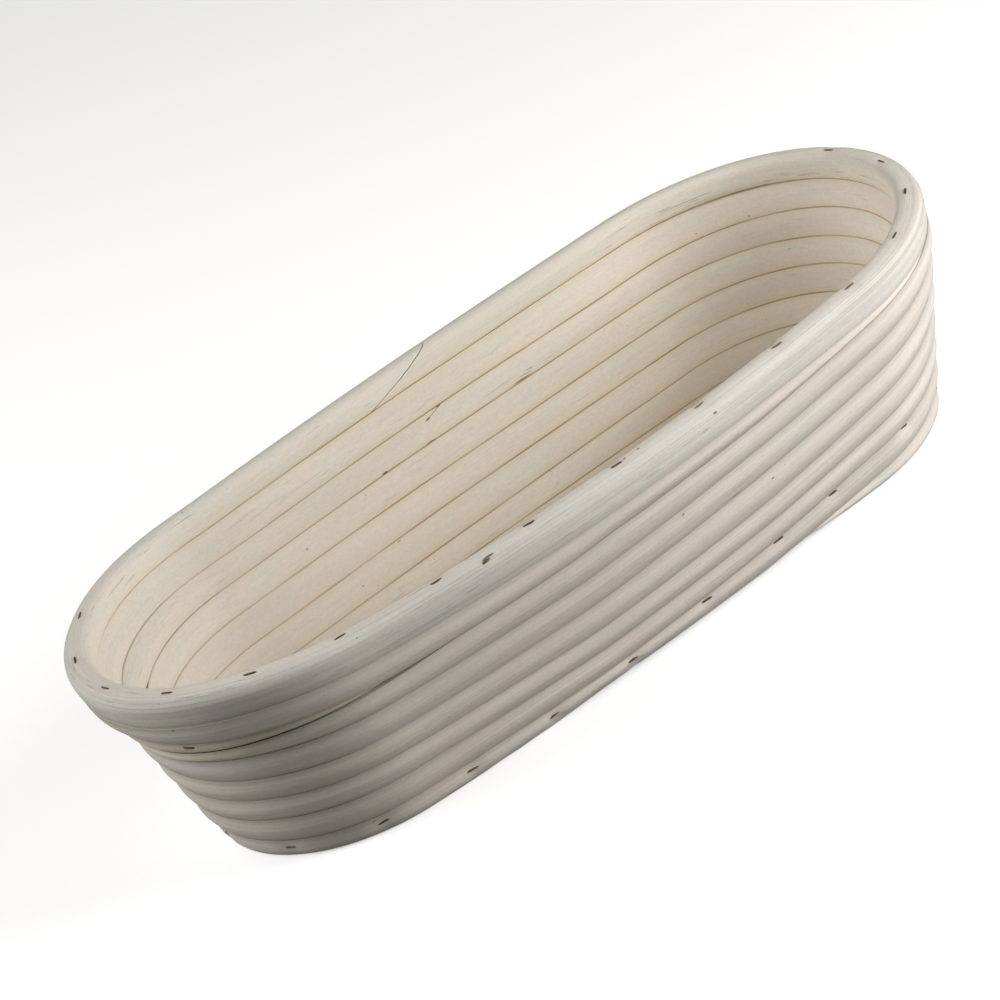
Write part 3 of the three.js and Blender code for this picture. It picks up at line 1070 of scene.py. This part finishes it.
def coreSections():
    tip = halfCore + coreSizes["tipLength"]
    x = np.concatenate([
        np.linspace(-tip, -halfCore, coreSizes["tipRings"])[:-1],
        np.linspace(-halfCore, halfCore, coreSizes["rings"]),
        np.linspace(halfCore, tip, coreSizes["tipRings"])[1:],
    ])
    whittled = np.clip((np.abs(x) - halfCore) / coreSizes["tipLength"], 0, 1)
    radius = caneRadius + (coreSizes["tipDiameter"] / 2 - caneRadius) * whittled ** coreSizes["tipCurve"]
    side = radius * (pitch + oval["squeeze"]) / 2 / caneRadius
    centre = np.stack([x, np.full(len(x), shiftBack), np.full(len(x), footHeight)], -1)
    normal = np.tile([0.0, -1.0, 0.0], (len(x), 1))
    made = sections(centre, normal, math.pi / 2, -side, side, radius, x + tip)
    made["taper"] = whittled * coreSizes["tipPith"]
    return made


def spliceLimits(lower):
    gap = wallSizes["spliceGap"] / 2
    if lower:
        return lambda station: (spliceCut(station) + gap, np.inf)
    return lambda station: (-np.inf, spliceCut(station) - gap)


def addCane(name, node, rows, finish, marks, settings=None):
    piece = grow(pointsObject(name, rows), sweptCane, {
        **caneSwell,
        **(settings or {}),
        "Staple Marks": marks,
        "Finish": finish,
    })
    layBakeMap(piece)
    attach(piece, "root")
    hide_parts(node)
    print(f"stage: {name} has {len(piece.data.polygons)} faces")


rimShape = {
    "Inner Squareness": 2.7,
    "Outer Squareness": 2.3,
    "Inner Cut": 1.387,
    "Outer Cut": 1.827,
    "Free Top": 1.0,
    "Softness": 0.3,
    "Bottom Tilt": math.tan(wallLean - rimLean),
}
tip = wallSizes["spliceTip"]
lowerEnd = stationAtCut(pitch / 2 - tip)
upperStart = stationAtCut(tip - pitch / 2)
lowerRows = windingSections(wallSizes, windingStart, lowerEnd, spliceLimits(True))
upperRows = windingSections(wallSizes, upperStart, windingEnd(wallSizes), spliceLimits(False))
baseRows = windingSections(baseSizes, windingStart, windingEnd(baseSizes))
lowerRows["taper"][:len(lowerRows["taper"]) // 2] *= wallSizes["plainTaper"]
upperRows["taper"][len(upperRows["taper"]) // 2:] *= wallSizes["plainTaper"]
addCane("wall_lower", "lower_wall_cane", lowerRows, lowerWallFinish, footMarks)
addCane("wall_upper", "upper_wall_cane", upperRows, upperWallFinish, footMarks)
addCane("rim", "rim_cane", rimSections(), rimFinish, rimMarks, rimShape)
addCane("base_spiral", "base_cane", baseRows, baseFinish, footMarks)
addCane("base_core_cane", "base_core", coreSections(), baseFinish, footMarks)


def stapleShape(sizes):
    # one staple: crown along x with its top at y = 0, legs down along -y
    half = sizes["crownWidth"] / 2 - sizes["wire"] / 2
    top = -sizes["wire"] / 2
    path = [(-half, -sizes["legLength"]), (-half, -sizes["legLength"] + sizes["pointLength"])]
    for step in range(sizes["cornerSteps"] + 1):
        angle = math.pi - step / sizes["cornerSteps"] * math.pi / 2
        inwards, down = sizes["bend"] * (1 + math.cos(angle)), sizes["bend"] * (1 - math.sin(angle))
        path.append((-half + inwards, top - down))
    path += [(-x, y) for x, y in reversed(path)]
    points, faces = [], []
    trim = sizes["trim"]
    outline = [(-1, -trim), (-trim, -1), (trim, -1), (1, -trim)]
    outline += [(-side, -deep) for side, deep in outline]
    for number, (x, y) in enumerate(path):
        before, after = path[max(number - 1, 0)], path[min(number + 1, len(path) - 1)]
        run = Vector((after[0] - before[0], after[1] - before[1])).normalized()
        pointed = sizes["point"] if number in (0, len(path) - 1) else 1.0
        for side, deep in outline:
            shift = side * sizes["wire"] / 2 * pointed
            spot = (x - run.y * shift, y + run.x * shift, deep * sizes["depth"] / 2)
            points.append([v * mm for v in spot])
    count = len(outline)
    for ring in range(len(path) - 1):
        for side in range(count):
            here, there = ring * count + side, ring * count + (side + 1) % count
            faces.append((here, here + count, there + count, there))
    faces.append(tuple(range(count)))
    faces.append(tuple(reversed(range((len(path) - 1) * count, len(path) * count))))
    return meshObject("staple", points, [], faces)


def stapleTree():
    inputs = {"Object": ["Staple"], "Float": ["Twist", "Sink"], "Int": ["Seed"], "Material": ["Finish"]}
    tree, given = newTree("staplesOnPoints", inputs)
    shape = put("GeometryNodeObjectInfo", {"Object": given["Staple"]}).outputs["Geometry"]
    turn = output("FunctionNodeEulerToRotation", {0: named("turn", "FLOAT_VECTOR")})
    low = times(given["Twist"], -1.0)
    angle = put("FunctionNodeRandomValue", {2: low, 3: given["Twist"], "Seed": given["Seed"]}).outputs[1]
    twist = output("FunctionNodeAxisAngleToRotation", {0: (0.0, 1.0, 0.0), 1: angle})
    feeds = {0: turn, 1: twist}
    turned = output("FunctionNodeRotateRotation", feeds, rotation_space="LOCAL")
    depth = put("FunctionNodeRandomValue", {2: 0.0, 3: given["Sink"], "Seed": given["Seed"]}).outputs[1]
    depth = times(calc("ADD", depth, named("driven")), -1.0)
    drop = output("ShaderNodeCombineXYZ", {1: depth})
    offset = output("FunctionNodeRotateVector", {0: drop, 1: turn})
    points = output("GeometryNodeMeshToPoints", {0: given["Geometry"]})
    points = moved(points, "Offset", offset)
    feeds = {"Points": points, "Instance": shape, "Rotation": turned}
    closeTree(output("GeometryNodeInstanceOnPoints", feeds), given["Finish"])
    return tree


staple = stapleShape(stapleSizes)
shortStaple = stapleShape({**stapleSizes, "legLength": stapleSizes["spliceLeg"]})
staplesOnPoints = stapleTree()


def addStaples(name, rows, seed, shape=staple):
    # rim_staples stand for rim_staple_01 and so on
    nodes = sorted(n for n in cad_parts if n.startswith(name[:-1] + "_"))
    piece = grow(markObject(name, rows), staplesOnPoints, {
        "Staple": shape,
        "Twist": stapleSizes["twist"],
        "Sink": stapleSizes["sink"] * mm,
        "Seed": seed,
        "Finish": steel,
    })
    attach(piece, "root")
    if nodes:
        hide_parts(*nodes)
    print(f"stage: {name} has {len(piece.data.polygons)} faces")


addStaples("rim_staples", rimRows, stapleSizes["seed"])
addStaples("foot_staples", footRows, stapleSizes["seed"] + 1)
addStaples("splice_staple", spliceRows, stapleSizes["seed"] + 2, shortStaple)
for helper in (staple, shortStaple, rimMarks, footMarks):
    bpy.data.objects.remove(helper)
print("stage: staples ready")

# Floor, lights and camera
studio = {
    "floor": colour(0.95, 0.95, 0.95),
    "floorBounce": colour(0.3, 0.3, 0.3),   # what it throws back at the basket
    "floorGlow": 0.5,
    "floorSize": 8.0,
    "floorDrop": 0.0003,
    "floorRoughness": 0.9,
    "skyColour": colour(1.0, 1.0, 1.0),
    "skyStrength": 0.02,
    "lightAim": (0.0, 0.0, 0.03),
    "lightColour": (1.0, 0.985, 0.96),
    "lights": {             # place, size and power
        "rightKey": ((0.44, -0.5, 0.22), 0.3, 2.05),
        "rightSide": ((0.6, -0.35, 0.3), 0.3, 1.3),
        "rightFill": ((0.5, -0.6, 0.6), 0.4, 2.2),
        "backLeftHigh": ((-0.6, 0.6, 1.4), 0.8, 2.5),
        "leftHigh": ((-0.8, 0.2, 0.9), 0.6, 4.1),
        "leftLow": ((-1.2, 0.7, 0.5), 0.5, 5.4),
    },
    "bounces": 8,
}


def addFloor():
    half = studio["floorSize"] / 2
    drop = cadLow.z - studio["floorDrop"]
    corners = [(-half, -half, drop), (half, -half, drop), (half, half, drop), (-half, half, drop)]
    floor = meshObject("floor", corners, [], [(0, 1, 2, 3)])
    finish, shader = newFinish("floorFinish")
    seen = put("ShaderNodeLightPath").outputs["Is Camera Ray"]
    feed(shader, {
        "Base Color": mixColour(seen, studio["floorBounce"], studio["floor"]),
        "Emission Strength": times(seen, studio["floorGlow"]),
        "Emission Color": studio["floor"],
        "Roughness": studio["floorRoughness"],
    })
    floor.data.materials.append(finish)


def addLights():
    world = bpy.data.worlds.new("studio")
    world.use_nodes = True
    sky = {"Color": studio["skyColour"], "Strength": studio["skyStrength"]}
    feed(world.node_tree.nodes["Background"], sky)
    scene.world = world
    for name, (place, size, power) in studio["lights"].items():
        data = bpy.data.lights.new(name, "AREA")
        data.energy, data.size, data.color = power, size, studio["lightColour"]
        light = linked(name, data)
        light.location = place
        light.visible_camera = False
        aim = Vector(studio["lightAim"]) - Vector(place)
        light.rotation_euler = aim.to_track_quat("-Z", "Y").to_euler()
    scene.cycles.diffuse_bounces = studio["bounces"]


# As the photograph was taken: angles in degrees, lengths in metres, image points as shares of its width
viewpoint = {
    "azimuth": -20.04,
    "elevation": 27.15,
    "roll": -25.56,
    "distance": 1.115,
    "aim": (0.0, 0.0025, 0.035),
    "focal": 3.767,
    "shift": (-0.0388, 0.0018),
    "clip": (0.05, 50.0),
    "sensor": 36.0,          # millimetres
}


def addCamera():
    azimuth, elevation, roll = (math.radians(viewpoint[k]) for k in ("azimuth", "elevation", "roll"))
    right = Vector((math.cos(azimuth), math.sin(azimuth), 0))
    level = Vector((math.sin(azimuth), -math.cos(azimuth), 0))
    back = level * math.cos(elevation) + Vector((0, 0, math.sin(elevation)))
    top = back.cross(right)
    across = right * math.cos(roll) + top * math.sin(roll)
    upright = top * math.cos(roll) - right * math.sin(roll)
    data = bpy.data.cameras.new("camera")
    data.sensor_width = viewpoint["sensor"]
    data.lens = viewpoint["focal"] * viewpoint["sensor"]
    data.shift_x, data.shift_y = viewpoint["shift"]
    data.clip_start, data.clip_end = viewpoint["clip"]
    camera = linked("camera", data)
    turn = Matrix((across, upright, back)).transposed().to_4x4()
    stand = Vector(viewpoint["aim"]) + back * viewpoint["distance"]
    camera.matrix_world = Matrix.Translation(stand) @ turn
    scene.camera = camera


addFloor()
addLights()
addCamera()
scene.view_settings.view_transform = "Standard"
print("stage: studio ready")
